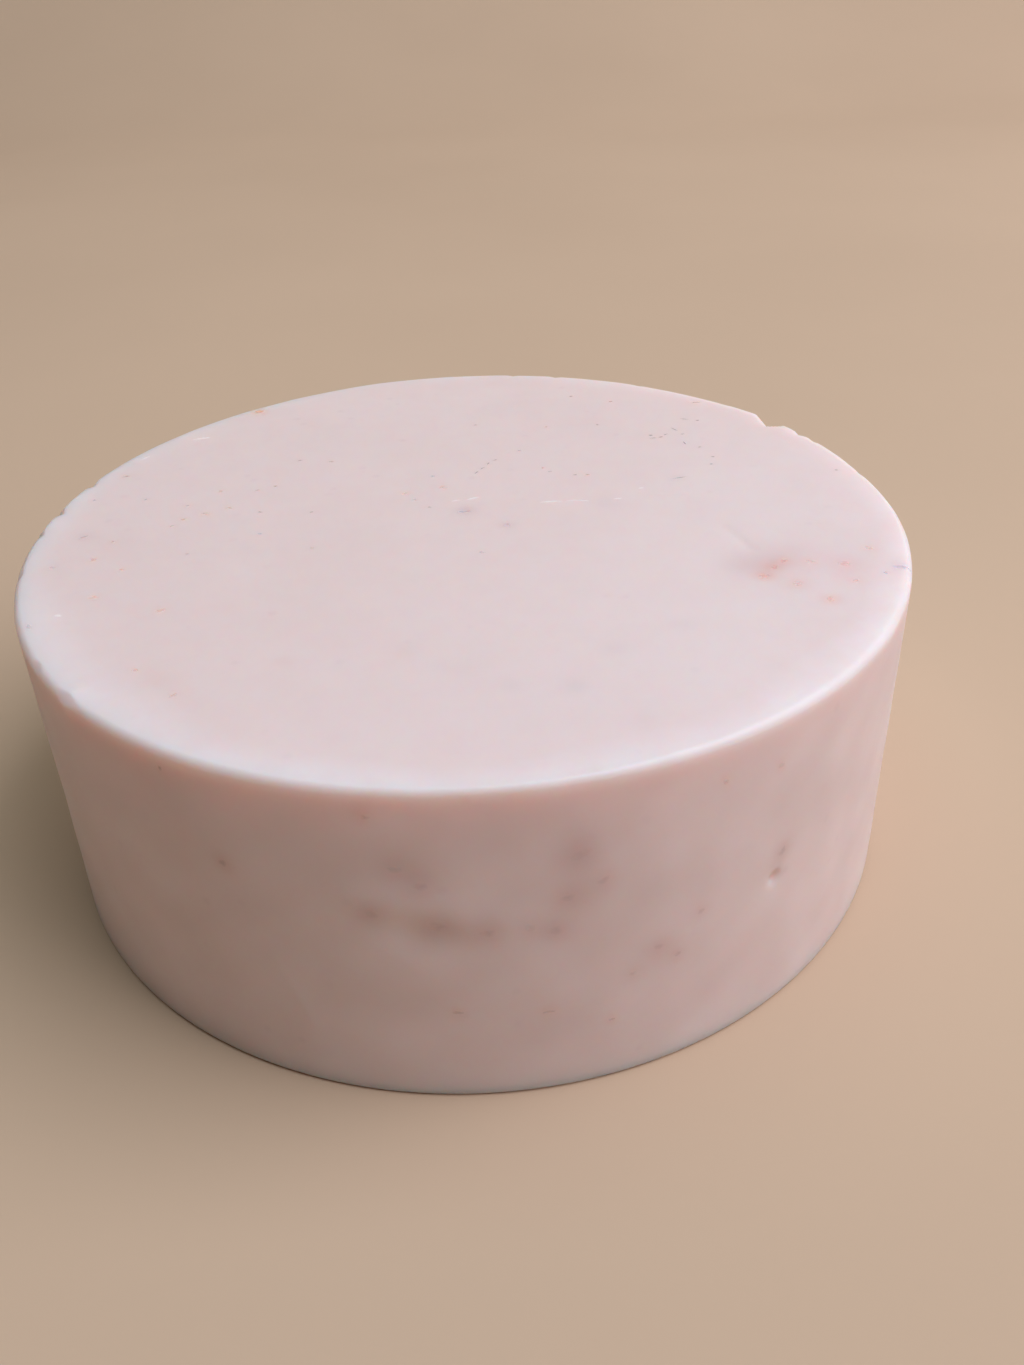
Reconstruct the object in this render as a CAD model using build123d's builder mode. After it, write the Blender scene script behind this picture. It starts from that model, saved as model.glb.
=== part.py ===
from build123d import *
import os
from math import cos, radians, sin

# Shaving soap puck: a short round bar cut from a moulded log of pale pink soap and trimmed by
# hand, with flecks of undissolved colour cast into it. Millimetres, +Z up. The origin is the
# centre of the flat base that the bar stands on.

# The bar
top_radius = 38.0
base_radius = 38.4
height = 28.8
rim_round = 0.6
base_round = 0.45

# How far each kind of fleck reaches into the bar
top_fleck_depth = 0.35
wall_fleck_depth = 0.35
rim_fleck_depth = 0.8

# Nicks that the trimming knife left in the top edge:
# degrees round from +X, width along the edge, depth, and how far the bottom leans sideways
rim_nicks = (
    (30.5, 3.6, 1.3, -0.9),
    (25.0, 1.8, 0.45, 0.4),
    (72.5, 1.4, 0.25, 0.2),
    (80.0, 1.6, 0.30, -0.3),
    (161.5, 2.6, 0.45, 0.6),
    (171.0, 2.4, 0.40, 0.5),
    (177.5, 1.8, 0.30, -0.3),
    (-148.0, 2.2, 0.25, 0.3),
)
nick_clearance = 1.0
nick_run = 5.0

# Flecks on the top face: x, y, length, width, and degrees that the length is turned from +X
orange_fleck = ((-21.6, 29.6, 1.3, 0.8, 35),)
coral_flecks = (
    (-32.6, 13.7, 0.8, 0.35, 10),
    (-21.5, 5.4, 0.7, 0.35, -10),
    (-22.8, 9.2, 0.6, 0.30, -5),
    (-12.8, 14.8, 0.6, 0.30, 5),
    (-25.3, 3.5, 0.6, 0.40, 15),
    (-26.1, 2.2, 0.4, 0.30, 30),
    (-23.5, 4.5, 0.8, 0.35, 0),
    (-30.7, -0.4, 0.4, 0.35, 60),
    (-31.7, -3.6, 0.5, 0.50, 0),
    (-28.9, -5.6, 0.5, 0.40, 80),
    (-30.1, -10.2, 0.9, 0.40, -10),
    (-24.3, -12.9, 0.8, 0.50, 20),
    (-24.5, -21.5, 0.5, 0.40, 0),
    (-21.1, -25.1, 0.6, 0.40, 40),
    (-1.8, 7.6, 0.7, 0.50, 0),
    (-5.4, 6.7, 0.6, 0.40, 25),
    (11.9, 8.6, 0.45, 0.30, 0),
    (10.7, 8.7, 0.4, 0.25, 0),
    (12.4, 29.4, 0.5, 0.30, 15),
    (16.5, 27.3, 0.5, 0.30, 0),
    (25.5, 25.9, 1.1, 0.25, 0),
)
rose_cluster = (
    (23.7, -12.8, 0.9, 0.7, 40),
    (24.9, -11.4, 0.8, 0.5, 50),
    (25.9, -10.4, 0.7, 0.4, 30),
    (26.0, -14.3, 0.8, 0.6, 0),
    (28.0, -10.8, 0.8, 0.4, -10),
    (27.9, -16.9, 0.7, 0.6, 80),
    (30.7, -14.3, 0.6, 0.5, 60),
    (30.6, -11.4, 1.1, 0.7, 0),
    (33.4, -9.0, 0.8, 0.4, -20),
)
mauve_specks = (
    (-34.4, 8.5, 0.4, 0.3, 0),
    (-29.6, 8.1, 0.4, 0.3, 30),
    (-25.4, 6.3, 0.5, 0.3, 10),
    (-19.3, 9.0, 0.5, 0.3, 20),
    (-17.7, 9.7, 0.4, 0.3, 0),
    (-15.9, 15.5, 0.5, 0.3, 15),
    (-18.5, 4.2, 0.5, 0.3, -15),
    (-13.8, 3.6, 0.4, 0.3, 60),
    (-18.0, -0.3, 0.4, 0.3, 0),
    (-23.8, -3.4, 0.4, 0.35, 0),
    (-13.2, -3.5, 0.4, 0.4, 0),
    (-33.6, 0.8, 0.9, 0.3, 40),
    (-34.9, -4.7, 0.6, 0.4, 0),
    (-2.8, 10.2, 0.5, 0.3, 10),
    (-4.5, 5.2, 0.4, 0.35, 0),
    (-3.1, 3.4, 0.4, 0.3, 0),
    (1.7, 22.6, 0.4, 0.3, 20),
    (9.0, 21.1, 0.4, 0.3, 70),
    (5.8, 15.2, 0.4, 0.3, 0),
    (7.8, 10.7, 0.4, 0.25, 0),
    (8.4, 9.8, 0.4, 0.25, 0),
    (3.7, -1.1, 0.7, 0.5, -20),
    (1.3, -6.0, 0.5, 0.4, 0),
    (24.4, 11.3, 0.4, 0.3, 0),
    (23.9, 9.6, 0.4, 0.3, 40),
    (35.2, 6.8, 0.4, 0.3, 0),
    (14.3, 21.0, 0.4, 0.3, 80),
    (23.6, 13.8, 0.4, 0.35, 0),
)
grey_specks = (
    (34.9, -12.5, 1.3, 0.55, -25),
    (33.4, -13.3, 0.5, 0.3, 80),
    (0.0, 2.2, 1.4, 0.6, 5),
    (-34.1, -14.4, 0.7, 0.4, -60),
)
# Short dark threads that the cutting wire drew out: x, y, length, width and turn
dark_threads = (
    (1.4, 10.5, 0.7, 0.14, 60),
    (2.0, 11.4, 0.8, 0.14, 50),
    (2.6, 12.4, 0.7, 0.14, 65),
    (3.3, 13.2, 0.6, 0.14, 30),
    (19.3, 17.4, 0.5, 0.26, 0),
    (19.4, 16.65, 0.8, 0.16, 0),
    (20.2, 16.8, 0.6, 0.20, 15),
    (20.8, 17.4, 0.6, 0.14, 40),
    (21.9, 18.7, 1.0, 0.16, -60),
    (22.5, 17.3, 0.4, 0.16, 0),
    (23.4, 21.3, 0.9, 0.16, -25),
    (24.7, 20.75, 0.4, 0.24, 0),
    (20.6, 6.9, 1.2, 0.16, 15),
    (22.3, 15.0, 0.9, 0.16, -80),
)

# Flecks in the side wall: degrees round from +X, height of the middle, width across, height of
# the fleck, and degrees that it is turned
mauve_wall_flecks = (
    (-80.3, 22.6, 1.6, 0.7, 10),
    (-78.0, 20.0, 0.9, 0.6, 20),
    (-81.7, 19.0, 1.0, 0.6, 0),
    (-83.0, 16.2, 0.9, 0.8, 0),
    (-85.7, 16.8, 0.8, 0.7, 0),
    (-90.0, 16.7, 1.0, 0.8, 10),
    (-95.0, 17.5, 1.4, 0.8, -25),
    (-101.7, 18.4, 1.0, 0.7, 0),
    (-96.5, 21.0, 1.2, 0.6, 0),
    (-99.0, 22.4, 1.1, 0.6, -20),
    (-71.6, 12.4, 0.8, 0.6, 0),
    (-69.2, 11.0, 0.6, 0.5, 0),
    (-66.5, 14.4, 0.7, 0.5, 20),
    (-74.5, 10.4, 0.6, 0.5, 0),
    (-55.1, 16.2, 0.8, 0.7, 80),
    (-117.9, 20.5, 0.7, 0.6, 0),
)
rust_wall_flecks = (
    (-93.7, 9.1, 0.9, 0.4, 0),
    (-76.9, 6.3, 0.7, 0.35, 0),
    (-84.0, 8.4, 1.3, 0.22, 0),
    (-56.8, 24.6, 0.6, 0.5, 0),
    (-64.4, 25.4, 0.4, 0.5, 0),
    (-101.3, 26.6, 0.6, 0.4, 0),
    (-124.0, 27.2, 0.4, 0.4, 0),
)


def outward(around):
    """The level direction that points out of the bar at that many degrees round from +X."""
    return Vector(cos(radians(around)), sin(radians(around)), 0)


def nick_plane(around):
    """A plane across a knife cut in the top edge: X along the edge, Y out of the bar at 45 degrees,
    and Z the way that the cut runs, outwards and down."""
    out = outward(around)
    corner = out * top_radius + Vector(0, 0, height)
    along_edge = Vector(0, 0, 1).cross(out)
    return Plane(origin=corner, x_dir=along_edge, z_dir=out - Vector(0, 0, 1))


def wall_plane(around, up):
    """A plane that touches the side wall at a height, with X level and Z out of the bar."""
    out = outward(around)
    lean = (base_radius - top_radius) / height
    radius_there = base_radius - lean * up
    level = Vector(0, 0, 1).cross(out)
    return Plane(
        origin=out * radius_there + Vector(0, 0, up),
        x_dir=level,
        z_dir=out + Vector(0, 0, lean),
    )


# The bar before anything is cut from it: a very slightly tapered round with its edges eased
with BuildPart() as blank:
    with BuildSketch(Plane.XZ):
        with BuildLine():
            Polyline((0, 0), (base_radius, 0), (top_radius, height), (0, height), close=True)
        make_face()
    revolve(axis=Axis.Z)
    round_edges = blank.edges().filter_by(GeomType.CIRCLE).sort_by(Axis.Z)
    fillet(round_edges[-1], rim_round)
    fillet(blank.edges().filter_by(GeomType.CIRCLE).sort_by(Axis.Z)[0], base_round)


def cast_into_top(flecks, depth):
    """One upright oval plug for each fleck, from above the top face down to its depth, with its
    upper end trimmed to the bar's own surface."""
    with BuildPart() as group:
        with BuildSketch(Plane.XY.offset(height - depth)):
            for x, y, length, width, turn in flecks:
                with Locations((x, y)):
                    Ellipse(length / 2, width / 2, rotation=turn)
        extrude(amount=2 * depth)
        add(blank.part, mode=Mode.INTERSECT)
    return group.part


def cast_into_wall(flecks, depth):
    """One level oval plug for each fleck, with its outer end trimmed to the bar's own surface."""
    with BuildPart() as group:
        for around, up, across, tall, turn in flecks:
            with BuildSketch(wall_plane(around, up)):
                Ellipse(across / 2, tall / 2, rotation=turn)
            extrude(amount=depth, both=True)
        add(blank.part, mode=Mode.INTERSECT)
    return group.part


# Each kind of fleck is one group of separate pieces
fleck_groups = {
    "orange_rim_fleck": cast_into_top(orange_fleck, rim_fleck_depth),
    "coral_flecks": cast_into_top(coral_flecks, top_fleck_depth),
    "rose_cluster_flecks": cast_into_top(rose_cluster, top_fleck_depth),
    "mauve_specks": cast_into_top(mauve_specks, top_fleck_depth),
    "grey_specks": cast_into_top(grey_specks, top_fleck_depth),
    "dark_threads": cast_into_top(dark_threads, top_fleck_depth),
    "mauve_wall_flecks": cast_into_wall(mauve_wall_flecks, wall_fleck_depth),
    "rust_wall_flecks": cast_into_wall(rust_wall_flecks, wall_fleck_depth),
}

# The bar itself: the blank, nicked along its top edge, with a pocket round every fleck
with BuildPart() as soap_body:
    add(blank.part)
    for around, width, depth, lean in rim_nicks:
        with BuildSketch(nick_plane(around)):
            with BuildLine():
                Polyline(
                    (-width / 2, 0),
                    (lean, -depth),
                    (width / 2, 0),
                    (width / 2, nick_clearance),
                    (-width / 2, nick_clearance),
                    close=True,
                )
            make_face()
        extrude(amount=nick_run, both=True, mode=Mode.SUBTRACT)
    for group in fleck_groups.values():
        add(group, mode=Mode.SUBTRACT)

os.makedirs("parts", exist_ok=True)
soap_body.part.label = "soap_body"
export_step(soap_body.part, "parts/soap_body.step")
for name, group in fleck_groups.items():
    group.label = name
    export_step(group, f"parts/{name}.step")
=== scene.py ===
from math import cos, pi, radians, sin

import bpy
import numpy as np
from mathutils import Matrix, Vector


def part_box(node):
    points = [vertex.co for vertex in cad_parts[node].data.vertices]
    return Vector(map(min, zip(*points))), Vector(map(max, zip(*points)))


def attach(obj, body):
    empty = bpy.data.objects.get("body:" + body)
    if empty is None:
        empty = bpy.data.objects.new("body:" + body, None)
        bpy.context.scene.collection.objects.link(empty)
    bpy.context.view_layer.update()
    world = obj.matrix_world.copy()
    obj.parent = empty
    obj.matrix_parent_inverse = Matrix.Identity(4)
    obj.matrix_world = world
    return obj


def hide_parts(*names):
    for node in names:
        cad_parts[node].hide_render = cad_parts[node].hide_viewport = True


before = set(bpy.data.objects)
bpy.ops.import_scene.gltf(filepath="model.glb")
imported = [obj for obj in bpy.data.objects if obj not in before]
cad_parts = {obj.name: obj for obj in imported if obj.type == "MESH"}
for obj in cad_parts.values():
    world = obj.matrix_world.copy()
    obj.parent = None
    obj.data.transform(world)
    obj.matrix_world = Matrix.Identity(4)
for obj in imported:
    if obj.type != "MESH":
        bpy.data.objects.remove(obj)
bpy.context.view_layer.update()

# ---------------------------------------------------------------------------------------------
# Sizes of the bar, in metres
# ---------------------------------------------------------------------------------------------

mm = 0.001
base_radius = 38.4 * mm
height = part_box("soap_body")[1].z
top_radius = base_radius - 0.4 * mm
rim_round = 0.65 * mm
base_round = 0.45 * mm

# Knife nicks in the top edge: degrees round from +X, how deep each one cuts in past the rounded
# rim, and the widths of its flank behind and its flank ahead, in millimetres
rim_nicks = (
    (30.3, 1.45, 1.2, 2.7),
    (25.0, 0.40, 1.1, 0.6),
    (21.4, 0.18, 0.8, 0.8),
    (9.0, 0.12, 0.8, 0.6),
    (57.5, 0.14, 0.6, 0.9),
    (72.5, 0.26, 0.7, 0.8),
    (80.0, 0.30, 0.9, 0.7),
    (161.5, 0.55, 1.7, 0.8),
    (171.0, 0.50, 1.5, 0.8),
    (177.5, 0.35, 1.0, 0.8),
    (188.5, 0.22, 1.2, 1.0),
    (212.0, 0.20, 1.0, 1.0),
    (247.5, 0.15, 0.8, 0.8),
)
# Shallow swellings between the nicks, where the edge was pressed: degrees, half width, height
rim_swells = (
    (36.5, 2.6, 0.22),
    (27.4, 0.9, 0.12),
    (166.5, 2.0, 0.12),
    (174.3, 1.8, 0.12),
    (220.5, 0.9, 0.20),
    (290.0, 1.6, 0.10),
)
# Dents in the top face, or swellings where the depth is below zero: x, y, radius and depth
top_dents = (
    (22.2, -10.2, 2.4, 0.10),
    (26.5, -13.0, 3.0, -0.06),
    (0.0, 2.3, 0.7, 0.06),
    (-5.0, 8.0, 5.0, 0.05),
    (-30.0, -3.0, 6.0, 0.06),
    (-20.0, -7.6, 2.2, -0.03),
    (8.0, -20.0, 9.0, 0.04),
    (14.0, 20.0, 7.0, 0.04),
)
# Dents in the side wall, or swellings: degrees round from +X, height, radius and depth
wall_dents = (
    (-56.0, 13.9, 0.55, 0.32),
    (-56.2, 15.1, 0.45, -0.05),
    (-103.1, 19.8, 1.5, -0.10),
    (-99.6, 19.5, 1.5, -0.12),
    (-96.2, 19.0, 1.4, -0.12),
    (-92.8, 18.3, 1.4, -0.10),
    (-88.5, 17.6, 1.5, -0.07),
    (-98.0, 16.4, 1.4, 0.13),
    (-93.5, 15.8, 1.4, 0.11),
    (-97.8, 22.0, 1.6, 0.09),
    (-86.0, 22.0, 4.5, 0.04),
    (-50.0, 12.0, 6.0, 0.05),
    (-41.0, 4.0, 3.0, 0.04),
    (-127.6, 9.8, 2.6, 0.04),
    (40.0, 15.0, 6.0, 0.06),
    (120.0, 11.0, 7.0, 0.07),
    (200.0, 17.0, 6.0, 0.06),
)
# Where the top is trimmed out of round: degrees round, reach in degrees, and how far it leans out
rim_leans = ((-90.0, 34.0, -0.38), (25.0, 30.0, 0.30))
# Knife drags on the wall, or ridges where the depth is below zero: degrees round and height of
# both ends, half width, and depth
wall_drags = (
    (-113.4, 12.3, -109.7, 6.4, 0.45, -0.05),
    (-114.5, 15.0, -106.5, 12.5, 0.6, 0.03),
)
# Scratches in the top face, or ridges where the depth is below zero: both ends in x and y, half
# width, and depth
top_scratches = (
    (22.3, -3.4, 23.9, -8.0, 0.45, 0.09),
    (-24.3, -10.1, -22.4, -12.9, 0.30, -0.03),
    (-24.4, -20.6, -21.6, -24.6, 0.35, 0.03),
    (17.0, 3.4, 20.0, 3.3, 0.5, 0.03),
)
# How high the uneven skin stands: slow swells and fine grain all over, and lumps on the wall
slow_swell = 0.035 * mm
fine_grain = 0.007 * mm
wall_lump = 0.018 * mm
# The hand-cut unevenness along the top edge
edge_rough = 0.04 * mm
# Faint upright drag lines on the wall: their height, how many there are all round, the degrees
# round where they are strongest, and how far they reach, in degrees and up the wall
drag_line = 0.012 * mm
drag_lines_round = 210
drag_middle, drag_reach = -34, 14
drag_up, drag_up_reach = 20 * mm, 9 * mm


def smooth_step(low, high, x):
    """0 below low, 1 above high, and a soft S between."""
    t = np.clip((x - low) / (high - low), 0, 1)
    return t * t * (3 - 2 * t)


def bell(distance, reach):
    """1 at no distance, falling away as a bell curve with that reach."""
    return np.exp(-((distance / reach) ** 2))


def waves(points, count, shortest, longest, seed):
    """The sum of some plane waves in seeded directions, with wavelengths between the shortest and
    the longest, scaled to stay about between -1 and 1."""
    rng = np.random.default_rng(seed)
    total = np.zeros(points.shape[:-1])
    for _ in range(count):
        way = rng.normal(size=3)
        way /= np.linalg.norm(way)
        length = rng.uniform(shortest, longest)
        total += np.sin(points @ way * 2 * pi / length + rng.uniform(0, 2 * pi))
    return total / np.sqrt(count)


def distance_to_line(x, y, x0, y0, x1, y1):
    """How far each place is from the straight line between two points."""
    run_x, run_y = x1 - x0, y1 - y0
    share = ((x - x0) * run_x + (y - y0) * run_y) / (run_x**2 + run_y**2)
    share = np.clip(share, 0, 1)
    return np.hypot(x - x0 - share * run_x, y - y0 - share * run_y)


# ---------------------------------------------------------------------------------------------
# Meshes
# ---------------------------------------------------------------------------------------------


def closed_rounds(name, grids):
    """One mesh of closed skins. Each grid holds rings of points from one pole to the other: the
    first and last rings, whose points coincide, become one point each, and quads join the rest."""
    points, faces, start = [], [], 0
    for grid in grids:
        rows, columns = grid.shape[:2]
        ring = np.arange(columns)
        after = (ring + 1) % columns
        first = start + 1
        last = start + 1 + (rows - 3) * columns
        end = start + 1 + (rows - 2) * columns
        row_starts = first + np.arange(rows - 3)[:, None] * columns
        upper, lower = row_starts + ring, row_starts + columns + ring
        lower_after, upper_after = row_starts + columns + after, row_starts + after
        quads = np.stack([upper, lower, lower_after, upper_after], -1).reshape(-1, 4)
        cap = np.stack([np.full(columns, start), first + ring, first + after], -1)
        foot = np.stack([np.full(columns, end), last + after, last + ring], -1)
        points += [grid[0, :1], grid[1:-1].reshape(-1, 3), grid[-1, :1]]
        faces += cap.tolist() + quads.tolist() + foot.tolist()
        start = end + 1
    mesh = bpy.data.meshes.new(name)
    mesh.from_pydata(np.vstack(points).tolist(), [], faces)
    mesh.shade_smooth()
    piece = bpy.data.objects.new(name, mesh)
    bpy.context.scene.collection.objects.link(piece)
    return piece


def mesh_points(piece):
    """The piece's points as an array of rows x, y, z."""
    found = np.empty(len(piece.data.vertices) * 3)
    piece.data.vertices.foreach_get("co", found)
    return found.reshape(-1, 3)


# ---------------------------------------------------------------------------------------------
# The bar of soap
# ---------------------------------------------------------------------------------------------

columns = 620
top_rows, rim_rows, wall_rows, base_edge_rows, base_rows = 84, 11, 50, 5, 8
# Places that need closer points: degrees round, reach in degrees and how much closer
close_places = tuple((around, 2.5, min(depth, 1.0)) for around, depth, _, _ in rim_nicks)
close_places += ((-56.0, 1.5, 2.0), (-97.0, 8.0, 0.3))
columns_crowd = 2.2
# The wall's small pit, which needs closer rows: its share of the way down, reach and how much
pit_share, pit_reach, pit_crowd = 0.515, 0.03, 2.5
# How the rows of the top crowd towards its rim, where 1 is evenly
rim_crowd = 1.2


def column_angles():
    """Angles of the bar's columns of points, which crowd together at the deeper nicks."""
    fine = np.linspace(-pi, pi, 7201)
    density = np.ones(len(fine))
    for around, reach, share in close_places:
        apart = np.angle(np.exp(1j * (fine - radians(around))))
        density += columns_crowd * share * bell(apart, radians(reach))
    travelled = np.concatenate([[0], np.cumsum((density[1:] + density[:-1]) / 2)])
    return np.interp(np.arange(columns) / columns * travelled[-1], travelled, fine)


def wall_steps():
    """Shares of the way down the wall, which crowd together at the height of its small pit."""
    fine = np.linspace(0, 1, 1001)
    density = 1 + pit_crowd * bell(fine - pit_share, pit_reach)
    travelled = np.concatenate([[0], np.cumsum((density[1:] + density[:-1]) / 2)])
    return np.interp(np.arange(1, wall_rows + 1) / wall_rows * travelled[-1], travelled, fine)


def half_section():
    """Radius and height along the bar's half section, with the outward direction at each point:
    out across the top, round the rim, down the wall, round the base edge and in to the middle."""
    across = 1 - (1 - np.linspace(0, 1, top_rows)) ** rim_crowd
    quarter = np.linspace(0, pi / 2, rim_rows + 1)[1:]
    base_quarter = np.linspace(0, pi / 2, base_edge_rows + 1)[1:]
    down = wall_steps()
    back = np.linspace(1, 0, base_rows + 1)[1:]
    rim_centre = (top_radius - rim_round, height - rim_round)
    base_centre = (base_radius - base_round, base_round)
    radius = np.concatenate([
        across * rim_centre[0],
        rim_centre[0] + rim_round * np.sin(quarter),
        top_radius + (base_radius - top_radius) * down,
        base_centre[0] + base_round * np.cos(base_quarter),
        base_centre[0] * back,
    ])
    up = np.concatenate([
        np.full(top_rows, height),
        rim_centre[1] + rim_round * np.cos(quarter),
        rim_centre[1] + (base_centre[1] - rim_centre[1]) * down,
        base_centre[1] - base_round * np.sin(base_quarter),
        np.zeros(base_rows),
    ])
    outward = np.concatenate([
        np.zeros(top_rows), np.sin(quarter), np.ones(wall_rows), np.cos(base_quarter),
        np.zeros(base_rows),
    ])
    upward = np.concatenate([
        np.ones(top_rows), np.cos(quarter), np.zeros(wall_rows), -np.sin(base_quarter),
        -np.ones(base_rows),
    ])
    return radius[:, None], up[:, None], outward[:, None], upward[:, None]


def nick_depth(angle):
    """How far the knife nicks reach in from the edge: a V for each one, whose two flanks have
    their own widths, and a fine hand-cut unevenness everywhere."""
    depth = np.zeros_like(angle)
    for around, deep, behind, ahead in rim_nicks:
        along = np.angle(np.exp(1j * (angle - radians(around)))) * top_radius
        width = np.where(along < 0, behind, ahead) * mm
        depth += deep * mm * np.clip(1 - np.abs(along) / width, 0, 1)
    edge = np.stack([np.cos(angle), np.sin(angle), 0 * angle], -1) * top_radius
    rough = waves(edge, 14, 2.5 * mm, 9 * mm, seed=5)
    return depth + edge_rough * np.clip(rough, -1, 2)


def skin_height(angle, radius, up, outward, upward):
    """How far the hand-made surface stands above the plain shape: waves all over, a top edge that
    leans in and out, dents in the top and wall, pressed places along the rim, scratches, and faint
    upright drag lines on the wall. It fades to nothing at the flat base."""
    places = np.stack([radius * np.cos(angle), radius * np.sin(angle), up + 0 * angle], -1)
    top_share, wall_share = np.clip(upward, 0, 1), outward
    rise = slow_swell * waves(places, 9, 14 * mm, 40 * mm, seed=11)
    rise += fine_grain * waves(places, 16, 2.5 * mm, 6 * mm, seed=12)
    rise += wall_lump * wall_share * waves(places, 18, 4 * mm, 11 * mm, seed=13)
    for around, reach, amount in rim_leans:
        along = np.angle(np.exp(1j * (angle - radians(around))))
        rise += outward * amount * mm * bell(along, radians(reach)) * (up / height) ** 2
    for x, y, reach, depth in top_dents:
        apart = np.hypot(places[..., 0] - x * mm, places[..., 1] - y * mm)
        rise -= top_share * depth * mm * bell(apart, reach * mm)
    for around, tall, reach, depth in wall_dents:
        along = np.angle(np.exp(1j * (angle - radians(around)))) * base_radius
        rise -= wall_share * depth * mm * bell(np.hypot(along, up - tall * mm), reach * mm)
    for around, reach, tall in rim_swells:
        along = np.angle(np.exp(1j * (angle - radians(around)))) * top_radius
        from_rim = np.hypot(radius - top_radius, up - height)
        rise += tall * mm * bell(along, reach * mm) * bell(from_rim, 1.8 * mm)
    for x0, y0, x1, y1, half_width, depth in top_scratches:
        line = (x0 * mm, y0 * mm, x1 * mm, y1 * mm)
        apart = distance_to_line(places[..., 0], places[..., 1], *line)
        rise -= top_share * depth * mm * bell(apart, half_width * mm)
    for around0, up0, around1, up1, half_width, depth in wall_drags:
        start = np.array([radians(around0) * base_radius, up0 * mm])
        end = np.array([radians(around1) * base_radius, up1 * mm])
        apart = distance_to_line(angle * base_radius, up, *start, *end)
        rise -= wall_share * depth * mm * bell(apart, half_width * mm)
    lines = np.sin(angle * drag_lines_round + 2 * np.sin(angle * 7))
    lines = lines * bell(up - drag_up, drag_up_reach)
    from_middle = np.angle(np.exp(1j * (angle - radians(drag_middle))))
    rise += wall_share * drag_line * lines * bell(from_middle, radians(drag_reach))
    return rise * smooth_step(0.2 * mm, 2.5 * mm, up)


def bar_surface(angle, radius, up, outward, upward, lift=0.0):
    """Points of the finished bar from places on the plain shape: the skin's height is added along
    the outward direction, the corner is cut back at 45 degrees wherever a nick reaches past the
    rounded rim, and the lift is added last, so that things can lie on the surface."""
    rise = skin_height(angle, radius, up, outward, upward)
    radius = radius + rise * outward
    up = up + rise * upward
    corner = (2 - 2**0.5) * rim_round
    over = (radius - top_radius) + (up - height) + corner + nick_depth(angle)
    near_top_edge = (radius > 0.6 * top_radius) * (up > 0.5 * height)
    cut = np.clip(over, 0, None) / 2 * near_top_edge
    radius = radius - cut + lift * outward
    up = up - cut + lift * upward
    return np.stack([radius * np.cos(angle), radius * np.sin(angle), up], -1)


def on_top(x, y, lift):
    """Points of the bar's top face at flat places x and y, which carry on round the rim: past the
    flat part, the distance outwards is wrapped round the quarter circle."""
    angle, reach = np.arctan2(y, x), np.hypot(x, y)
    flat_radius = top_radius - rim_round
    turn = np.clip((reach - flat_radius) / rim_round, 0, pi / 2)
    radius = np.minimum(reach, flat_radius) + rim_round * np.sin(turn)
    up = height - rim_round * (1 - np.cos(turn))
    return bar_surface(angle, radius, up, np.sin(turn), np.cos(turn), lift)


def on_wall(around, up, lift):
    """Points of the bar's side wall at angles and heights."""
    radius = base_radius - (base_radius - top_radius) * up / height
    return bar_surface(around, radius, up, 1.0 + 0 * up, 0 * up, lift)


def make_soap_body():
    """The bar: its half section turned about the upright axis and given its hand-made skin."""
    radius, up, outward, upward = half_section()
    angle = column_angles()[None, :]
    return closed_rounds("soap_bar", [bar_surface(angle, radius, up, outward, upward)])


# ---------------------------------------------------------------------------------------------
# Flecks of colour: each one grows from its own plug in the frame
# ---------------------------------------------------------------------------------------------


def separate_plugs(node):
    """The points of each separate solid in a CAD node, as a list of arrays. Points that share a
    place are one, and each takes the lowest label that its triangles reach, until none changes."""
    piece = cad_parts[node]
    places = mesh_points(piece)
    corners = np.empty(len(piece.data.loops), int)
    piece.data.loops.foreach_get("vertex_index", corners)
    own, same = np.unique(np.round(places / (0.001 * mm)).astype(int), axis=0, return_inverse=True)
    triangles = same.ravel()[corners].reshape(-1, 3)
    label = np.arange(len(own))
    while True:
        lowest = label[triangles].min(axis=1)
        settled = label.copy()
        np.minimum.at(settled, triangles, lowest[:, None])
        if (settled == label).all():
            break
        label = settled
    return [own[label == each] * 0.001 * mm for each in np.unique(label)]


def plug_facts(points, in_wall):
    """Where a plug shows on the surface: its middle, the outward direction, its two half lengths
    and the direction that the longer one runs in."""
    middle = points.mean(axis=0)
    outward = np.array([0.0, 0.0, 1.0])
    level = np.array([1.0, 0.0, 0.0])
    if in_wall:
        outward = np.array([middle[0], middle[1], 0.0]) / np.hypot(middle[0], middle[1])
        level = np.array([-outward[1], outward[0], 0.0])
    across = np.cross(outward, level)
    middle = middle + outward * ((points - middle) @ outward).max()
    flat = np.stack([(points - middle) @ level, (points - middle) @ across], -1)
    _, axes = np.linalg.eigh(np.cov(flat.T))
    long_way, short_way = axes[:, 1], axes[:, 0]
    half_long, half_short = np.abs(flat @ long_way).max(), np.abs(flat @ short_way).max()
    long_axis = long_way[0] * level + long_way[1] * across
    return middle, outward, long_axis, half_long, half_short


fleck_turns, fleck_rings, buried_rings = 24, 9, 4
# The share of a fleck's half size at which its gently domed face meets the soap
shore = 0.6
# A fleck's outline reaches a little past its plug, and waves: lobes round it, and how deep they are
outline_reach = 1.05
outline_lobes = ((2, 0.14), (3, 0.14), (5, 0.08), (7, 0.05))


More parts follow.
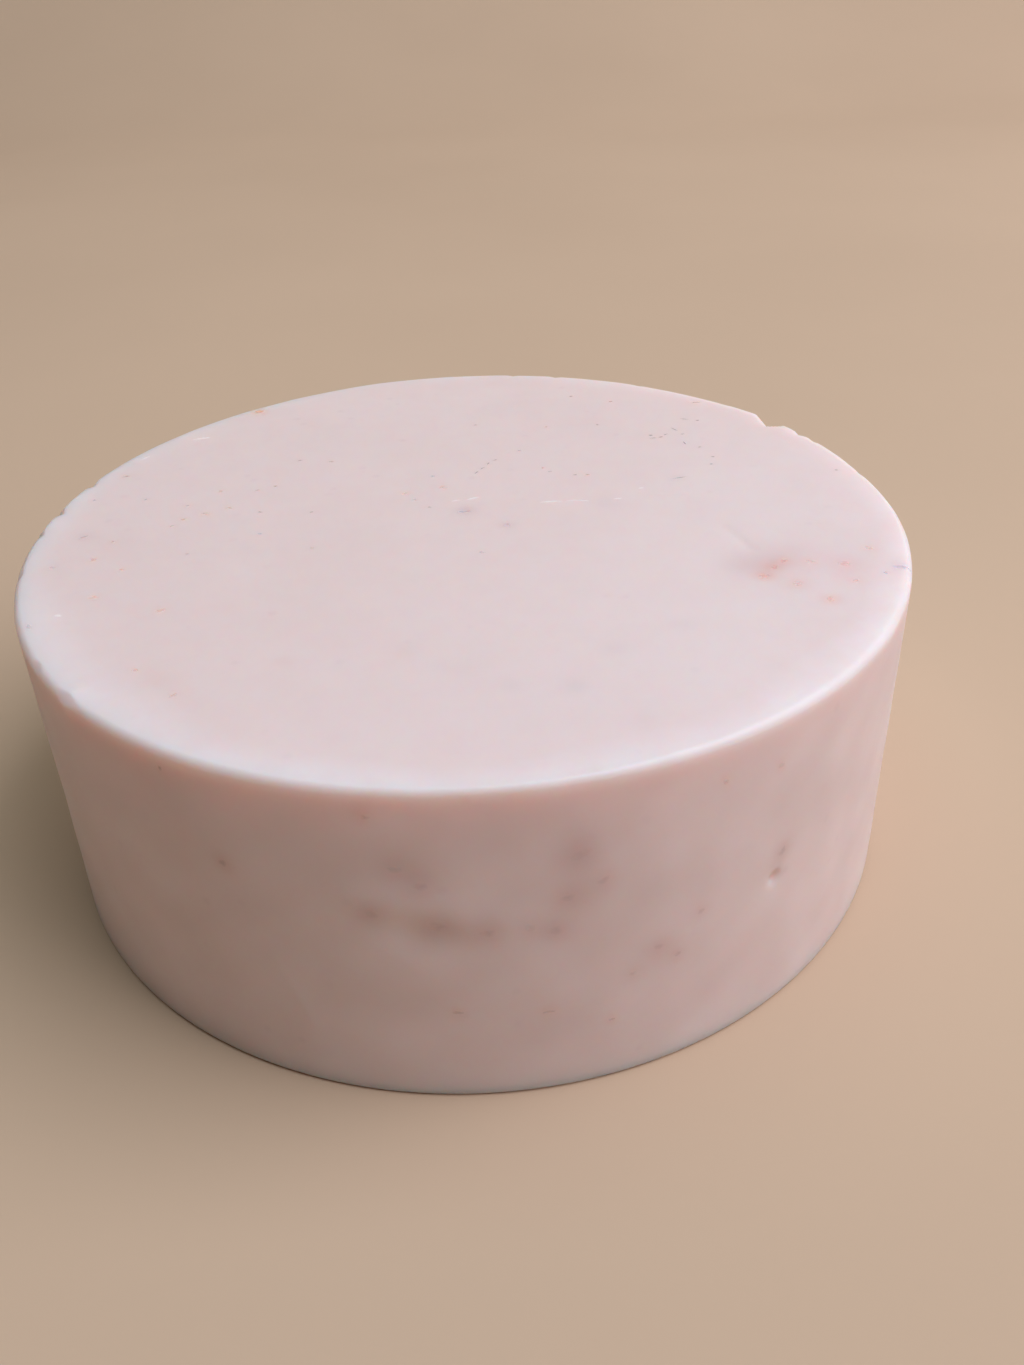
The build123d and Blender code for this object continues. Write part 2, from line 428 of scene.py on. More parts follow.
def fleck(facts, in_wall, rng, proud, depth):
    """A flattened seed laid on the bar's own surface: a low dome with a wavy outline that dips
    under the soap at its shore, closed by half an ellipsoid below."""
    middle, outward, long_axis, half_long, half_short = facts
    short_axis = np.cross(outward, long_axis)
    turn = np.linspace(0, 2 * pi, fleck_turns, endpoint=False)[None, :]
    outline = outline_reach / shore
    for lobes, amount in outline_lobes:
        start = rng.uniform(0, 2 * pi)
        wave = np.sin(lobes * turn + start)
        outline = outline + amount / shore * rng.uniform(0.4, 1) * wave
    dome = np.linspace(0, 1, fleck_rings)[:, None]
    under = np.linspace(0, pi / 2, buried_rings + 1)[1:, None]
    flat = np.concatenate([dome, np.cos(under)]) * outline
    dip = proud / shore**2 - proud
    lift = np.concatenate([proud - (proud + dip) * dome**2, -dip - depth * np.sin(under)])
    places = middle + (flat * np.cos(turn))[..., None] * half_long * long_axis
    places = places + (flat * np.sin(turn))[..., None] * half_short * short_axis
    x, y, z = places[..., 0], places[..., 1], places[..., 2]
    if in_wall:
        return on_wall(np.arctan2(y, x), z, lift)
    return on_top(x, y, lift)


def make_flecks(node, name, in_wall, proud, depth, cover, seed):
    """One piece that stands for a CAD node: a seed shape for each of its plugs. Each point also
    holds how near it is to its own fleck's heart, times how solid that fleck is."""
    rng = np.random.default_rng(seed)
    plugs = [plug_facts(points, in_wall) for points in separate_plugs(node)]
    plugs.sort(key=lambda facts: tuple(np.round(facts[0], 5)))
    grids = [fleck(facts, in_wall, rng, proud * mm, depth * mm) for facts in plugs]
    piece = closed_rounds(name, grids)
    dome = np.linspace(0, 1, fleck_rings)[1:]
    nearness = np.clip(1 - (dome / shore) ** 2, 0, 1)
    nearness = np.concatenate([nearness, np.zeros(buried_rings - 1)])
    one_fleck = np.concatenate([[1.0], np.repeat(nearness, fleck_turns), [0.0]])
    strengths = cover * rng.uniform(0.7, 1.0, len(plugs))
    set_attribute(piece, "heart", "FLOAT", (strengths[:, None] * one_fleck).ravel())
    return piece, plugs


# ---------------------------------------------------------------------------------------------
# Shavings that the cutting wire and the knife left on the top
# ---------------------------------------------------------------------------------------------

# x and y of both ends, width and height in millimetres
top_shavings = (
    (6.9, 3.1, 9.0, 3.0, 0.24, 0.050),
    (9.3, 3.15, 11.4, 2.8, 0.24, 0.050),
    (0.3, 4.5, 1.5, 5.0, 0.24, 0.030),
    (-1.1, 4.4, -0.3, 4.6, 0.26, 0.030),
    (-27.6, 22.3, -25.8, 22.8, 0.36, 0.060),
    (-31.9, 17.6, -31.2, 18.5, 0.20, 0.030),
    (-32.6, -12.8, -32.0, -13.0, 0.40, 0.040),
    (13.6, 2.9, 14.4, 3.0, 0.25, 0.030),
    (16.2, 4.9, 16.7, 5.0, 0.28, 0.040),
    (34.4, -15.0, 35.1, -14.6, 0.60, 0.030),
)


curl_rows, curl_turns = 36, 12
# How far a curl bows sideways, as a share of its length, and how far it sinks into the soap, as a
# share of its height
curl_bow, curl_sink = 0.04, 0.1
# How unevenly a curl's width changes along it, and how fast
curl_uneven, curl_uneven_rate = 0.25, 23


def curl(x0, y0, x1, y1, width, tall):
    """A thin curl of soap lying on the top: a low half-round ridge along a slightly bowed line,
    which tapers to nothing at both ends."""
    along = np.linspace(0, 1, curl_rows)[:, None]
    turn = np.linspace(2 * pi, 0, curl_turns, endpoint=False)[None, :]
    length = np.hypot(x1 - x0, y1 - y0)
    run_x, run_y = (x1 - x0) / length, (y1 - y0) / length
    uneven = (1 + curl_uneven * np.sin(along * curl_uneven_rate)) / (1 + curl_uneven)
    taper = np.sin(pi * along) ** 0.6 * uneven
    off = curl_bow * length * np.sin(pi * along) + np.cos(turn) * taper * width / 2
    x = x0 + along * (x1 - x0) - off * run_y
    y = y0 + along * (y1 - y0) + off * run_x
    return on_top(x, y, np.sin(turn) * taper * tall - curl_sink * tall)


def make_shavings():
    """The curls on the top face."""
    grids = [curl(*(np.array(shaving) * mm)) for shaving in top_shavings]
    return closed_rounds("soap_shavings", grids)


# ---------------------------------------------------------------------------------------------
# Materials
# ---------------------------------------------------------------------------------------------


class Nodes:
    """Short words for laying out a node tree."""

    def __init__(self, tree):
        self.tree = tree

    def add(self, kind, **settings):
        node = self.tree.nodes.new(kind)
        for name, value in settings.items():
            setattr(node, name, value)
        return node

    def link(self, output, socket):
        self.tree.links.new(output, socket)

    def math(self, operation, first, second):
        node = self.add("ShaderNodeMath", operation=operation)
        self.put(node.inputs[0], first)
        self.put(node.inputs[1], second)
        return node.outputs[0]

    def mix(self, factor, first, second, blend="MIX"):
        node = self.add("ShaderNodeMix", data_type="RGBA", blend_type=blend)
        self.put(node.inputs[0], factor)
        self.put(node.inputs[6], first)
        self.put(node.inputs[7], second)
        return node.outputs[2]

    def noise(self, where, scale, detail=2.0, roughness=0.5):
        node = self.add("ShaderNodeTexNoise")
        self.link(where, node.inputs["Vector"])
        node.inputs["Scale"].default_value = scale
        node.inputs["Detail"].default_value = detail
        node.inputs["Roughness"].default_value = roughness
        return node.outputs["Fac"]

    def spread(self, value, low, high, to_low=0.0, to_high=1.0):
        node = self.add("ShaderNodeMapRange", interpolation_type="SMOOTHSTEP")
        for socket, given in zip(node.inputs, (value, low, high, to_low, to_high)):
            self.put(socket, given)
        return node.outputs[0]

    def put(self, socket, value):
        if isinstance(value, bpy.types.NodeSocket):
            self.link(value, socket)
        else:
            socket.default_value = value


def new_group(name, inputs, outputs):
    """A node group with named float or colour sockets, and its input and output nodes."""
    tree = bpy.data.node_groups.new(name, "ShaderNodeTree")
    for socket, kind in inputs:
        tree.interface.new_socket(socket, in_out="INPUT", socket_type=kind)
    for socket, kind in outputs:
        tree.interface.new_socket(socket, in_out="OUTPUT", socket_type=kind)
    nodes = Nodes(tree)
    return nodes, nodes.add("NodeGroupInput"), nodes.add("NodeGroupOutput")


def soap_colour_group():
    """The colour of hand-poured soap at each place: two pinks that drift into each other, finer
    curds of the same two, and a scatter of soft mauve freckles, all darkened by a stain that also
    carries painted bounce light and painted shade."""
    nodes, given, out = new_group(
        "soap_colour",
        [
            ("Place", "NodeSocketVector"),
            ("Pale", "NodeSocketColor"),
            ("Deep", "NodeSocketColor"),
            ("Freckle", "NodeSocketColor"),
            ("Stain_and_painted_light", "NodeSocketColor"),
        ],
        [("Color", "NodeSocketColor")],
    )
    place = given.outputs["Place"]
    broad = nodes.noise(place, scale=60, detail=3, roughness=0.55)
    drifts = nodes.spread(broad, low=0.35, high=0.68)
    fine = nodes.noise(place, scale=480, detail=3, roughness=0.6)
    curds = nodes.spread(fine, low=0.35, high=0.7)
    drift_share = nodes.math("MULTIPLY", drifts, 0.6)
    share = nodes.math("ADD", drift_share, nodes.math("MULTIPLY", curds, 0.4))
    colour = nodes.mix(share, given.outputs["Pale"], given.outputs["Deep"])
    spots = nodes.add("ShaderNodeTexVoronoi")
    nodes.link(place, spots.inputs["Vector"])
    spots.inputs["Scale"].default_value = 420
    spot = nodes.spread(spots.outputs["Distance"], low=0.05, high=0.24, to_low=1.0, to_high=0.0)
    chosen = nodes.spread(nodes.noise(place, scale=170), low=0.50, high=0.66)
    freckle = nodes.math("MULTIPLY", nodes.math("MULTIPLY", spot, chosen), 0.22)
    colour = nodes.mix(freckle, colour, given.outputs["Freckle"])
    colour = nodes.mix(1.0, colour, given.outputs["Stain_and_painted_light"], "MULTIPLY")
    nodes.link(colour, out.inputs["Color"])
    return nodes.tree


def waxy_skin_group():
    """The cut skin of soap: fine pores, a soft grain, and faint lines where the wire was drawn
    across, as a height, and a roughness that changes with them."""
    nodes, given, out = new_group(
        "waxy_skin",
        [("Place", "NodeSocketVector"), ("Roughness", "NodeSocketFloat")],
        [("Height", "NodeSocketFloat"), ("Roughness", "NodeSocketFloat")],
    )
    place = given.outputs["Place"]
    stretch = nodes.add("ShaderNodeMapping")
    stretch.inputs["Rotation"].default_value = (0, 0, radians(-8))
    stretch.inputs["Scale"].default_value = (0.12, 1.6, 1.6)
    nodes.link(place, stretch.inputs["Vector"])
    wire_lines = nodes.noise(stretch.outputs[0], scale=900)
    grain = nodes.noise(place, scale=1500, detail=3, roughness=0.6)
    patches = nodes.noise(place, scale=160)
    relief = nodes.math("MULTIPLY", nodes.math("ADD", wire_lines, grain), 0.5)
    nodes.link(relief, out.inputs["Height"])
    shift = nodes.spread(patches, low=0.3, high=0.7, to_low=-0.04, to_high=0.04)
    nodes.link(nodes.math("ADD", given.outputs["Roughness"], shift), out.inputs["Roughness"])
    return nodes.tree


pale_pink = (0.800, 0.683, 0.690, 1)
deep_pink = (0.785, 0.660, 0.668, 1)
# Whitish bloom at the trimmed edge: partly real bloom, partly a painted sheen where the key light
# catches the rim
bloom_and_sheen_white = (0.850, 0.790, 0.842, 1)
dried_white = (0.92, 0.86, 0.87, 1)
freckle_mauve = (0.66, 0.52, 0.56, 1)
soap_glow = (1.0, 0.52, 0.38)
glow_depth = 4.2 * mm


def soap_finish(name, groups, roughness, waxy_bump):
    """The finish that soap and its flecks share: the soap's own colour, stained where the piece
    says so, under a waxy skin. Returns the node words, the shader and the colour so far."""
    material = bpy.data.materials.new(name)
    material.use_nodes = True
    nodes = Nodes(material.node_tree)
    shader = material.node_tree.nodes["Principled BSDF"]
    shader.inputs["IOR"].default_value = 1.46
    shader.inputs["Specular IOR Level"].default_value = 0.4
    place = nodes.add("ShaderNodeTexCoord").outputs["Object"]
    skin = nodes.add("ShaderNodeGroup", node_tree=groups["waxy_skin"])
    nodes.link(place, skin.inputs["Place"])
    skin.inputs["Roughness"].default_value = roughness
    bump = nodes.add("ShaderNodeBump")
    bump.inputs["Strength"].default_value = waxy_bump
    bump.inputs["Distance"].default_value = 0.02 * mm
    nodes.link(skin.outputs["Height"], bump.inputs["Height"])
    nodes.link(bump.outputs["Normal"], shader.inputs["Normal"])
    nodes.link(skin.outputs["Roughness"], shader.inputs["Roughness"])
    soap = nodes.add("ShaderNodeGroup", node_tree=groups["soap_colour"])
    nodes.link(place, soap.inputs["Place"])
    soap.inputs["Pale"].default_value = pale_pink
    soap.inputs["Deep"].default_value = deep_pink
    soap.inputs["Freckle"].default_value = freckle_mauve
    # The stain attribute also carries painted warm bounce at the base edge and painted shade under
    # the small pit's lip
    stain_and_painted_light = nodes.add("ShaderNodeAttribute", attribute_name="stain_and_painted_light").outputs["Color"]
    nodes.link(stain_and_painted_light, soap.inputs["Stain_and_painted_light"])
    return material, nodes, shader, place, soap.outputs["Color"]


def pink_soap(groups):
    """The soap of the bar: translucent, with a whitish bloom, partly a painted sheen, along its
    trimmed top edge and a painted paler front right on its top; these take the stains as the soap
    does."""
    finish = soap_finish("pink_soap", groups, roughness=0.47, waxy_bump=0.35)
    material, nodes, shader, place, colour = finish
    shader.inputs["Subsurface Weight"].default_value = 1.0
    shader.inputs["Subsurface Radius"].default_value = soap_glow
    shader.inputs["Subsurface Scale"].default_value = glow_depth
    # The edge band: whitish bloom and a painted sheen of the key light, with the top painted paler
    # towards its front right
    bloom_and_sheen = nodes.add("ShaderNodeAttribute", attribute_name="bloom_and_sheen").outputs["Fac"]
    mottle = nodes.noise(place, scale=330, detail=3)
    ragged = nodes.spread(mottle, low=0.25, high=0.75, to_low=0.8, to_high=1.2)
    bloom_and_sheen_share = nodes.math("MULTIPLY", bloom_and_sheen, ragged)
    stain_and_painted_light = nodes.add("ShaderNodeAttribute", attribute_name="stain_and_painted_light").outputs["Color"]
    stained_bloom_and_sheen = nodes.mix(1.0, bloom_and_sheen_white, stain_and_painted_light, "MULTIPLY")
    nodes.link(nodes.mix(bloom_and_sheen_share, colour, stained_bloom_and_sheen), shader.inputs["Base Color"])
    return material


def shaved_soap(groups):
    """Loose curls of soap, dried paler than the bar."""
    finish = soap_finish("shaved_soap", groups, roughness=0.5, waxy_bump=0.3)
    material, nodes, shader, place, colour = finish
    mottle = nodes.noise(place, scale=700)
    dried = nodes.spread(mottle, low=0.3, high=0.7, to_low=0.6, to_high=1.0)
    nodes.link(nodes.mix(dried, colour, dried_white), shader.inputs["Base Color"])
    return material


def fleck_colour(name, tint, groups):
    """A fleck: soap that its own colour tints. It is solid at the heart, broken up by fine curds,
    and thins out to clear soap at its shore."""
    finish = soap_finish(name, groups, roughness=0.5, waxy_bump=0.3)
    material, nodes, shader, place, colour = finish
    heart = nodes.add("ShaderNodeAttribute", attribute_name="heart").outputs["Fac"]
    curds = nodes.noise(place, scale=2600)
    broken = nodes.spread(curds, low=0.3, high=0.7, to_low=0.8, to_high=1.25)
    tinted = nodes.mix(1.0, colour, tint + (1,), "MULTIPLY")
    nodes.link(tinted, shader.inputs["Base Color"])
    nodes.link(nodes.math("MULTIPLY", heart, broken), shader.inputs["Alpha"])
    return material


# What each kind of fleck does to the soap's colour at its heart
fleck_tints = {
    "orange_colour": (0.99, 0.76, 0.58),
    "coral_colour": (1.0, 0.80, 0.69),
    "rose_colour": (1.0, 0.88, 0.84),
    "mauve_colour": (0.90, 0.84, 0.86),
    "grey_colour": (0.83, 0.83, 0.87),
    "dark_thread": (0.64, 0.58, 0.61),
    "wall_mauve_colour": (0.94, 0.87, 0.86),
    "rust_colour": (0.97, 0.82, 0.74),
}


def make_materials():
    """All the finishes, by the name of the record's slot."""
    groups = {"soap_colour": soap_colour_group(), "waxy_skin": waxy_skin_group()}
    made = {"pink_soap": pink_soap(groups), "shaved_soap": shaved_soap(groups)}
    for slot, tint in fleck_tints.items():
        made[slot] = fleck_colour(slot, tint, groups)
    return made


def set_attribute(piece, name, kind, values):
    """Puts one value, or one colour, at each point of a piece."""
    attribute = piece.data.attributes.new(name, kind, "POINT")
    attribute.data.foreach_set("color" if kind == "FLOAT_COLOR" else "value", values.ravel())


# Broad soft stains in the top: x, y and reach in millimetres, strength, and the tint
hazes = (
    (24.6, -10.9, 2.0, 0.9, (0.96, 0.88, 0.87)),
    (22.2, -10.6, 1.9, 0.8, (0.93, 0.90, 0.91)),
    (27.0, -9.4, 2.4, 0.7, (0.96, 0.90, 0.90)),
    (30.6, -11.2, 2.0, 0.9, (0.99, 0.92, 0.93)),
    (30.4, -13.6, 1.4, 0.6, (0.99, 0.93, 0.93)),
    (25.9, -14.4, 1.1, 0.7, (0.97, 0.92, 0.92)),
    (23.9, -12.6, 0.8, 0.9, (1.0, 0.87, 0.84)),
    (24.6, -11.3, 0.8, 0.8, (0.99, 0.88, 0.85)),
    (25.9, -10.4, 0.8, 0.6, (0.99, 0.90, 0.87)),
    (27.9, -16.9, 0.8, 0.8, (1.0, 0.90, 0.87)),
    (0.0, 2.2, 1.0, 0.7, (0.92, 0.91, 0.92)),
    (12.9, 2.3, 1.4, 0.8, (0.94, 0.94, 0.95)),
    (3.7, -1.1, 0.7, 0.6, (0.95, 0.91, 0.92)),
    (-33.2, 0.8, 1.1, 0.6, (0.94, 0.92, 0.93)),
    (-30.6, -0.2, 1.5, 0.5, (0.95, 0.94, 0.94)),
    (-23.0, -23.2, 1.4, 0.6, (0.98, 0.94, 0.92)),
    (-5.0, -21.1, 1.2, 0.7, (0.97, 0.95, 0.95)),
    (-13.8, -21.4, 0.7, 0.7, (0.96, 0.93, 0.93)),
    (2.7, -26.3, 1.0, 0.6, (0.94, 0.95, 0.96)),
    (7.1, -26.8, 0.9, 0.8, (0.93, 0.94, 0.95)),
    (-1.2, -23.6, 1.6, 0.5, (0.96, 0.97, 0.98)),
    (16.0, -19.5, 1.0, 0.6, (0.95, 0.95, 0.96)),
    (10.3, -22.3, 0.9, 0.6, (0.95, 0.95, 0.97)),
    (11.2, -31.2, 1.0, 0.6, (0.97, 0.94, 0.94)),
    (34.9, -12.4, 0.8, 0.7, (0.91, 0.91, 0.96)),
    (-9.6, -0.7, 2.2, 0.5, (0.97, 0.98, 0.99)),
    (-30.0, 0.0, 6.0, 0.5, (0.99, 0.97, 0.97)),
)
# Broad soft stains in the wall, and one painted shade under the small pit's upper lip: degrees round,
# height, reach, strength and tint
wall_hazes = (
    (-80.6, 22.7, 1.5, 0.7, (0.92, 0.88, 0.88)),
    (-81.0, 19.3, 1.5, 0.6, (0.94, 0.89, 0.88)),
    (-83.1, 16.2, 1.0, 0.7, (0.92, 0.88, 0.88)),
    (-95.0, 17.2, 1.5, 0.7, (0.91, 0.89, 0.89)),
    (-101.9, 18.4, 1.2, 0.7, (0.91, 0.88, 0.88)),
    (-98.2, 21.9, 1.8, 0.6, (0.92, 0.89, 0.88)),
    (-70.6, 11.7, 1.5, 0.6, (0.95, 0.90, 0.89)),
    (-89.5, 16.7, 1.0, 0.5, (0.94, 0.91, 0.91)),
    (-101.8, 27.0, 0.8, 0.7, (0.93, 0.86, 0.84)),
    (-117.7, 20.6, 0.8, 0.7, (0.93, 0.89, 0.88)),
    (-55.0, 16.2, 0.8, 0.8, (0.91, 0.88, 0.88)),
    # Painted shade: the shadow under the upper lip of the small pit just below
    (-55.8, 14.7, 0.6, 0.8, (0.90, 0.84, 0.83)),
    (-112.0, 14.0, 5.0, 0.4, (0.97, 0.96, 0.96)),
    (-76.0, 23.7, 1.0, 0.5, (0.94, 0.91, 0.91)),
    (-54.6, 13.9, 0.5, 0.5, (0.93, 0.90, 0.90)),
)


# How much the soft clouds on the wall, and the painted warm bounce light along the base edge, change
# red, green and blue
cloud_tint = (0.022, 0.028, 0.031)
base_edge_painted_bounce_tint = (0.0, 0.06, 0.07)


def stain_and_painted_light_at(points, fleck_stains):
    """The stain and painted light at each point, as a colour that multiplies the pink: each fleck,
    and each broad haze, darkens a bell-shaped patch round itself, one haze as painted shade under
    the small pit's lip, soft clouds drift over the side wall, and the base edge is painted a little
    warmer, as warm bounce light from the floor."""
    in_side = smooth_step(0.3 * mm, 3 * mm, height - points[:, 2])
    cloud = in_side * waves(points, 24, 4 * mm, 13 * mm, seed=21)
    stain_and_painted_light = 1 + cloud[:, None] * np.array(cloud_tint)
    # Painted light: the base edge is painted warmer, as warm bounce light from the floor
    painted_bounce_near_base = bell(points[:, 2], 1.6 * mm)
    stain_and_painted_light *= 1 - painted_bounce_near_base[:, None] * np.array(base_edge_painted_bounce_tint)

    def darken(middle, reach, strength, tint):
        share = strength * bell(np.linalg.norm(points - middle, axis=1), reach)
        stain_and_painted_light[:] *= 1 - share[:, None] * (1 - np.array(tint))

    for plugs, tint, reach, strength in fleck_stains:
        for middle, _, _, half_long, half_short in plugs:
            darken(middle, reach * (half_long + half_short) / 2, strength, tint)
    for x, y, reach, strength, tint in hazes:
        darken(np.array([x * mm, y * mm, height]), reach * mm, strength, tint)
    for around, up, reach, strength, tint in wall_hazes:
        wall = np.array([cos(radians(around)), sin(radians(around)), 0]) * top_radius
        darken(wall + np.array([0, 0, up * mm]), reach * mm, strength, tint)
    return np.column_stack([stain_and_painted_light, np.ones(len(points))])


def bloom_and_sheen_at(points):
    """The share of whitish bloom and painted sheen at each point: most at the trimmed edge, fading
    over three to six millimetres across the top and over a millimetre or so down the wall. It is
    strongest at the front and the right of the bar, where it is partly a painted sheen of the key
    light on the rim, and faint at the back left. The top itself is painted paler towards its front
    right, as painted light from the key light's side."""
    radius = np.hypot(points[:, 0], points[:, 1])
    around = np.arctan2(points[:, 1], points[:, 0])
    inward = np.clip(top_radius - radius, 0, None)
    down = np.clip(height - points[:, 2], 0, None)
    reach = 2.0 + 0.5 * np.cos(around + radians(75))
    reach = (reach + 0.25 * np.sin(around * 5 + 1) + 0.2 * np.sin(around * 13)) * mm
    to_front_left = np.angle(np.exp(1j * (around - radians(-145))))
    to_right = np.angle(np.exp(1j * (around - radians(-38))))
    reach = reach + 0.8 * mm * bell(to_front_left, radians(25))
    reach = reach + 0.6 * mm * bell(to_right, radians(25))
    # Strongest at the front and the right, where the key light falls: there the band is partly
    # painted sheen
    strength = 0.52 + 0.28 * np.cos(around + radians(70)) + 0.12 * bell(to_right, radians(25))
    across = 1 - smooth_step(0.2 * reach, 2.0 * reach, inward)
    # Painted light: the top is painted paler towards its front right, the side the key light comes
    # from
    to_front_right = points[:, 0] * cos(radians(-35)) + points[:, 1] * sin(radians(-35))
    painted_paler_top = 0.32 * smooth_step(-10 * mm, top_radius, to_front_right)
    return np.maximum(strength * across, painted_paler_top) * bell(down, 0.8 * mm)


# ---------------------------------------------------------------------------------------------
# The puck
# ---------------------------------------------------------------------------------------------

# CAD node: slot, in the wall, height that it stands proud and depth in millimetres, how solid it
# is at its heart, and the strength and reach of the stain round it, where the reach counts in its
# own half sizes
fleck_kinds = {
    "orange_rim_fleck": ("orange_colour", False, 0.010, 0.3, 0.8, 0.55, 1.9),
    "coral_flecks": ("coral_colour", False, 0.006, 0.2, 0.52, 0.32, 1.8),
    "rose_cluster_flecks": ("rose_colour", False, 0.006, 0.2, 0.6, 0.55, 2.2),
    "mauve_specks": ("mauve_colour", False, 0.006, 0.2, 0.42, 0.40, 2.0),
    "grey_specks": ("grey_colour", False, 0.006, 0.2, 0.75, 0.35, 1.7),
    "dark_threads": ("dark_thread", False, 0.005, 0.1, 0.65, 0.18, 1.5),
    "mauve_wall_flecks": ("wall_mauve_colour", True, 0.004, 0.2, 0.15, 0.75, 2.5),
    "rust_wall_flecks": ("rust_colour", True, 0.004, 0.2, 0.3, 0.50, 1.8),
}


def add_piece(piece, material, slot, fleck_stains, *nodes):
    """Gives a piece its stain and painted light, its finish and its ride, and says which CAD nodes it
    stands for."""
    set_attribute(piece, "stain_and_painted_light", "FLOAT_COLOR", stain_and_painted_light_at(mesh_points(piece), fleck_stains))
    piece.data.materials.append(material)
    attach(piece, "root")
    if nodes:
        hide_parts(*nodes)


def make_puck():
    """The bar, its flecks and its shavings. What lies in or on the soap is thinner than the
    soap is clear, so it throws no shadow into it."""
    finishes = make_materials()
    flecks, stains = [], []
    for order, (node, facts) in enumerate(fleck_kinds.items()):
        slot, in_wall, proud, depth, cover, strength, reach = facts
        piece, plugs = make_flecks(node, node + "_set", in_wall, proud, depth, cover, 40 + order)
        piece.visible_shadow = False
        flecks.append((piece, slot, node))
        stains.append((plugs, fleck_tints[slot], reach, strength))
    for piece, slot, node in flecks:
        add_piece(piece, finishes[slot], slot, stains, node)
    body = make_soap_body()
    set_attribute(body, "bloom_and_sheen", "FLOAT", bloom_and_sheen_at(mesh_points(body)))
    add_piece(body, finishes["pink_soap"], "pink_soap", stains, "soap_body")
    shavings = make_shavings()
    shavings.visible_shadow = False
    add_piece(shavings, finishes["shaved_soap"], "pink_soap", stains)


# ---------------------------------------------------------------------------------------------
# Studio
# ---------------------------------------------------------------------------------------------


floor_beige = (0.61, 0.465, 0.345, 1)
floor_beige_deep = (0.58, 0.44, 0.325, 1)
wall_seen = (0.46, 0.37, 0.29, 1)


def make_floor():
    """A plain beige floor that sweeps up behind the puck: level, then a quarter round, then
    upright, and the same all the way across. All its sizes are in metres."""
    front, back, bend, tall, half_wide = -3.0, 0.38, 0.30, 1.3, 3.0
    level = np.linspace(front, back, 30)
    quarter = np.linspace(0, pi / 2, 30)[1:]
    rise = np.linspace(bend, tall, 8)[1:]
    run = np.concatenate([level, back + bend * np.sin(quarter), np.full(len(rise), back + bend)])
    up = np.concatenate([0 * level, bend - bend * np.cos(quarter), rise])
    across = np.linspace(-half_wide, half_wide, 12)[None, :]
    run, up = run[:, None], up[:, None]
    grid = np.stack([across + 0 * run, run + 0 * across, up + 0 * across], -1)
    corner = np.arange(grid.shape[0] * grid.shape[1]).reshape(grid.shape[:2])
    around = (corner[:-1, :-1], corner[:-1, 1:], corner[1:, 1:], corner[1:, :-1])
    mesh = bpy.data.meshes.new("studio_floor")
    mesh.from_pydata(grid.reshape(-1, 3).tolist(), [], np.stack(around, -1).reshape(-1, 4).tolist())
    mesh.shade_smooth()
    floor = bpy.data.objects.new("studio_floor", mesh)
    bpy.context.scene.collection.objects.link(floor)
    material = bpy.data.materials.new("pale_floor")
    material.use_nodes = True
    nodes = Nodes(material.node_tree)
    shader = material.node_tree.nodes["Principled BSDF"]
    shader.inputs["Roughness"].default_value = 0.8
    shader.inputs["Specular IOR Level"].default_value = 0.2
    place = nodes.add("ShaderNodeTexCoord").outputs["Object"]
    drift = nodes.spread(nodes.noise(place, scale=6, detail=3), low=0.3, high=0.7)
    nodes.link(nodes.mix(drift, floor_beige, floor_beige_deep), shader.inputs["Base Color"])
    mesh.materials.append(material)


def soft_light(name, around, above, distance, width, watts, colour):
    """A square soft box that many degrees round from +X and above the floor, facing the puck."""
    light = bpy.data.lights.new(name, "AREA")
    light.shape = "SQUARE"
    light.size = width
    light.energy = watts
    light.color = colour
    lamp = bpy.data.objects.new(name, light)
    way = Vector((
        cos(radians(around)) * cos(radians(above)),
        sin(radians(around)) * cos(radians(above)),
        sin(radians(above)),
    ))
    lamp.location = Vector((0, 0, height / 2)) + way * distance
    lamp.rotation_mode = "QUATERNION"
    lamp.rotation_quaternion = way.to_track_quat("Z", "Y")
    lamp.visible_camera = False
    bpy.context.scene.collection.objects.link(lamp)


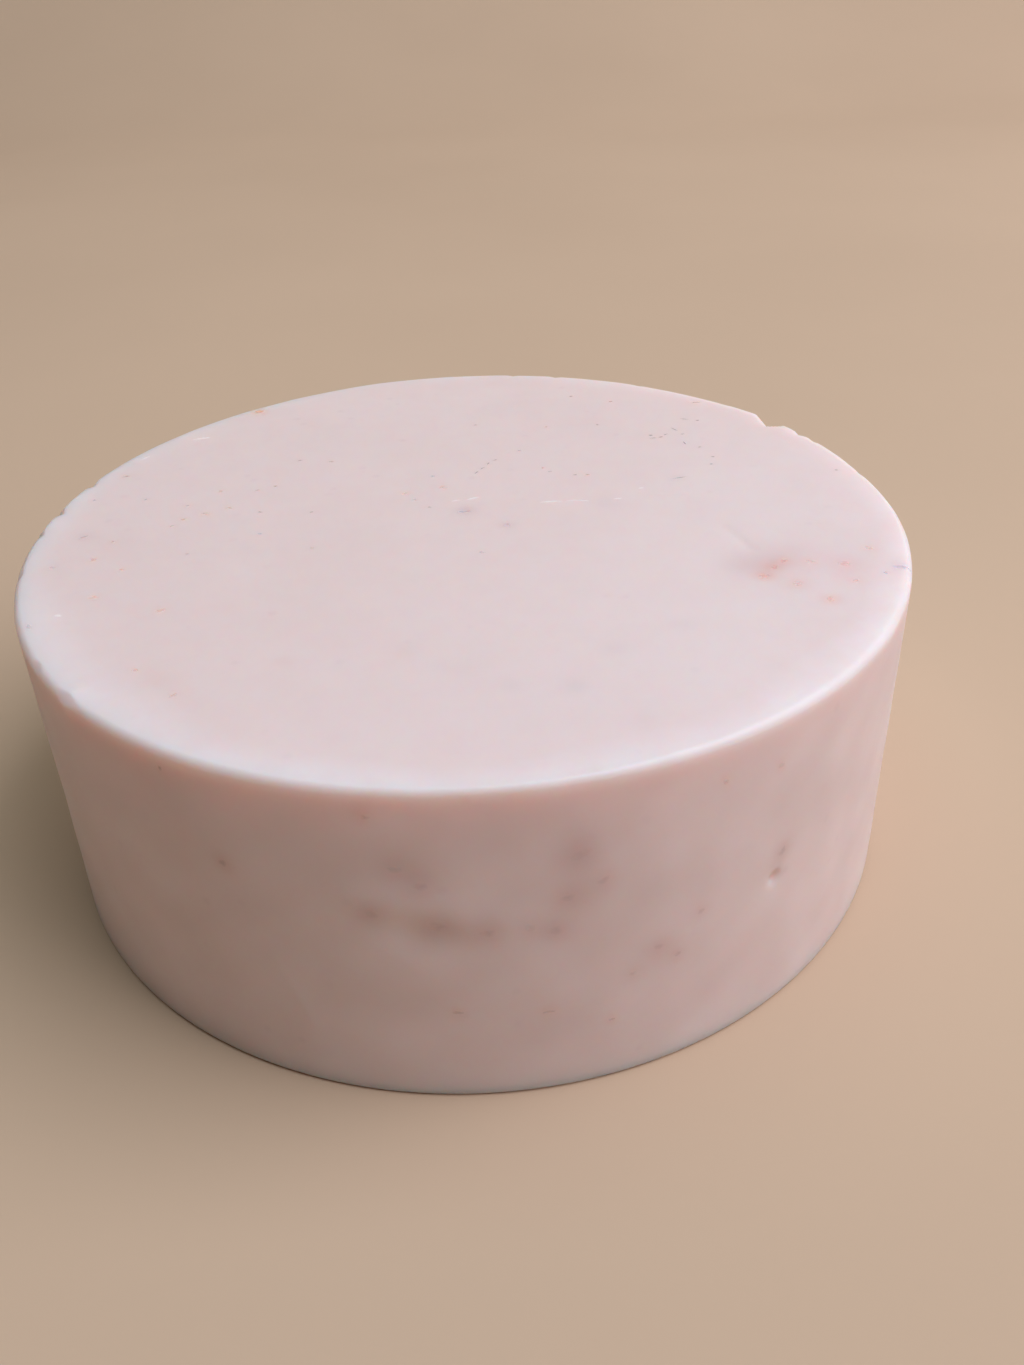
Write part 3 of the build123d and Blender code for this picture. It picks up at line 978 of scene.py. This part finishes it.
def make_room_light(colour, strength):
    """An even glow from all round, from a room whose far wall looks pale beige itself."""
    world = bpy.data.worlds.new("studio_room")
    world.use_nodes = True
    nodes = Nodes(world.node_tree)
    glow = world.node_tree.nodes["Background"]
    glow.inputs["Color"].default_value = colour + (1,)
    glow.inputs["Strength"].default_value = strength
    far_wall = nodes.add("ShaderNodeBackground")
    far_wall.inputs["Color"].default_value = wall_seen
    seen = nodes.add("ShaderNodeMixShader")
    nodes.link(nodes.add("ShaderNodeLightPath").outputs["Is Camera Ray"], seen.inputs[0])
    nodes.link(glow.outputs[0], seen.inputs[1])
    nodes.link(far_wall.outputs[0], seen.inputs[2])
    nodes.link(seen.outputs[0], world.node_tree.nodes["World Output"].inputs["Surface"])
    bpy.context.scene.world = world


def make_camera():
    """A hand-held close view from the front, looking down at the top and the near wall."""
    back, up = 94.8 * mm, 75.0 * mm
    pitch, yaw, roll = radians(33.85), radians(2.23), radians(-2.03)
    look = Vector((sin(yaw) * cos(pitch), cos(yaw) * cos(pitch), -sin(pitch)))
    level = Vector((cos(yaw), -sin(yaw), 0))
    upright = level.cross(look)
    right = cos(roll) * level + sin(roll) * upright
    above = cos(roll) * upright - sin(roll) * level
    lens_length = 31.13
    data = bpy.data.cameras.new("close_view")
    data.lens = lens_length
    data.clip_start = 5 * mm
    camera = bpy.data.objects.new("close_view", data)
    turned = Matrix((right, above, -look)).transposed().to_4x4()
    camera.matrix_world = Matrix.Translation((0, -back, up)) @ turned
    bpy.context.scene.collection.objects.link(camera)
    bpy.context.scene.camera = camera


make_puck()
make_floor()
make_room_light(colour=(1.0, 0.66, 0.50), strength=0.085)
soft_light(
    "window_light",
    around=-13,
    above=50,
    distance=1.1,
    width=1.0,
    watts=12.1,
    colour=(0.985, 0.945, 1.0),
)
soft_light(
    "ceiling_light",
    around=0,
    above=90,
    distance=1.2,
    width=1.1,
    watts=4.1,
    colour=(0.73, 0.98, 1.0),
)
make_camera()
bpy.context.scene.view_settings.view_transform = "Standard"
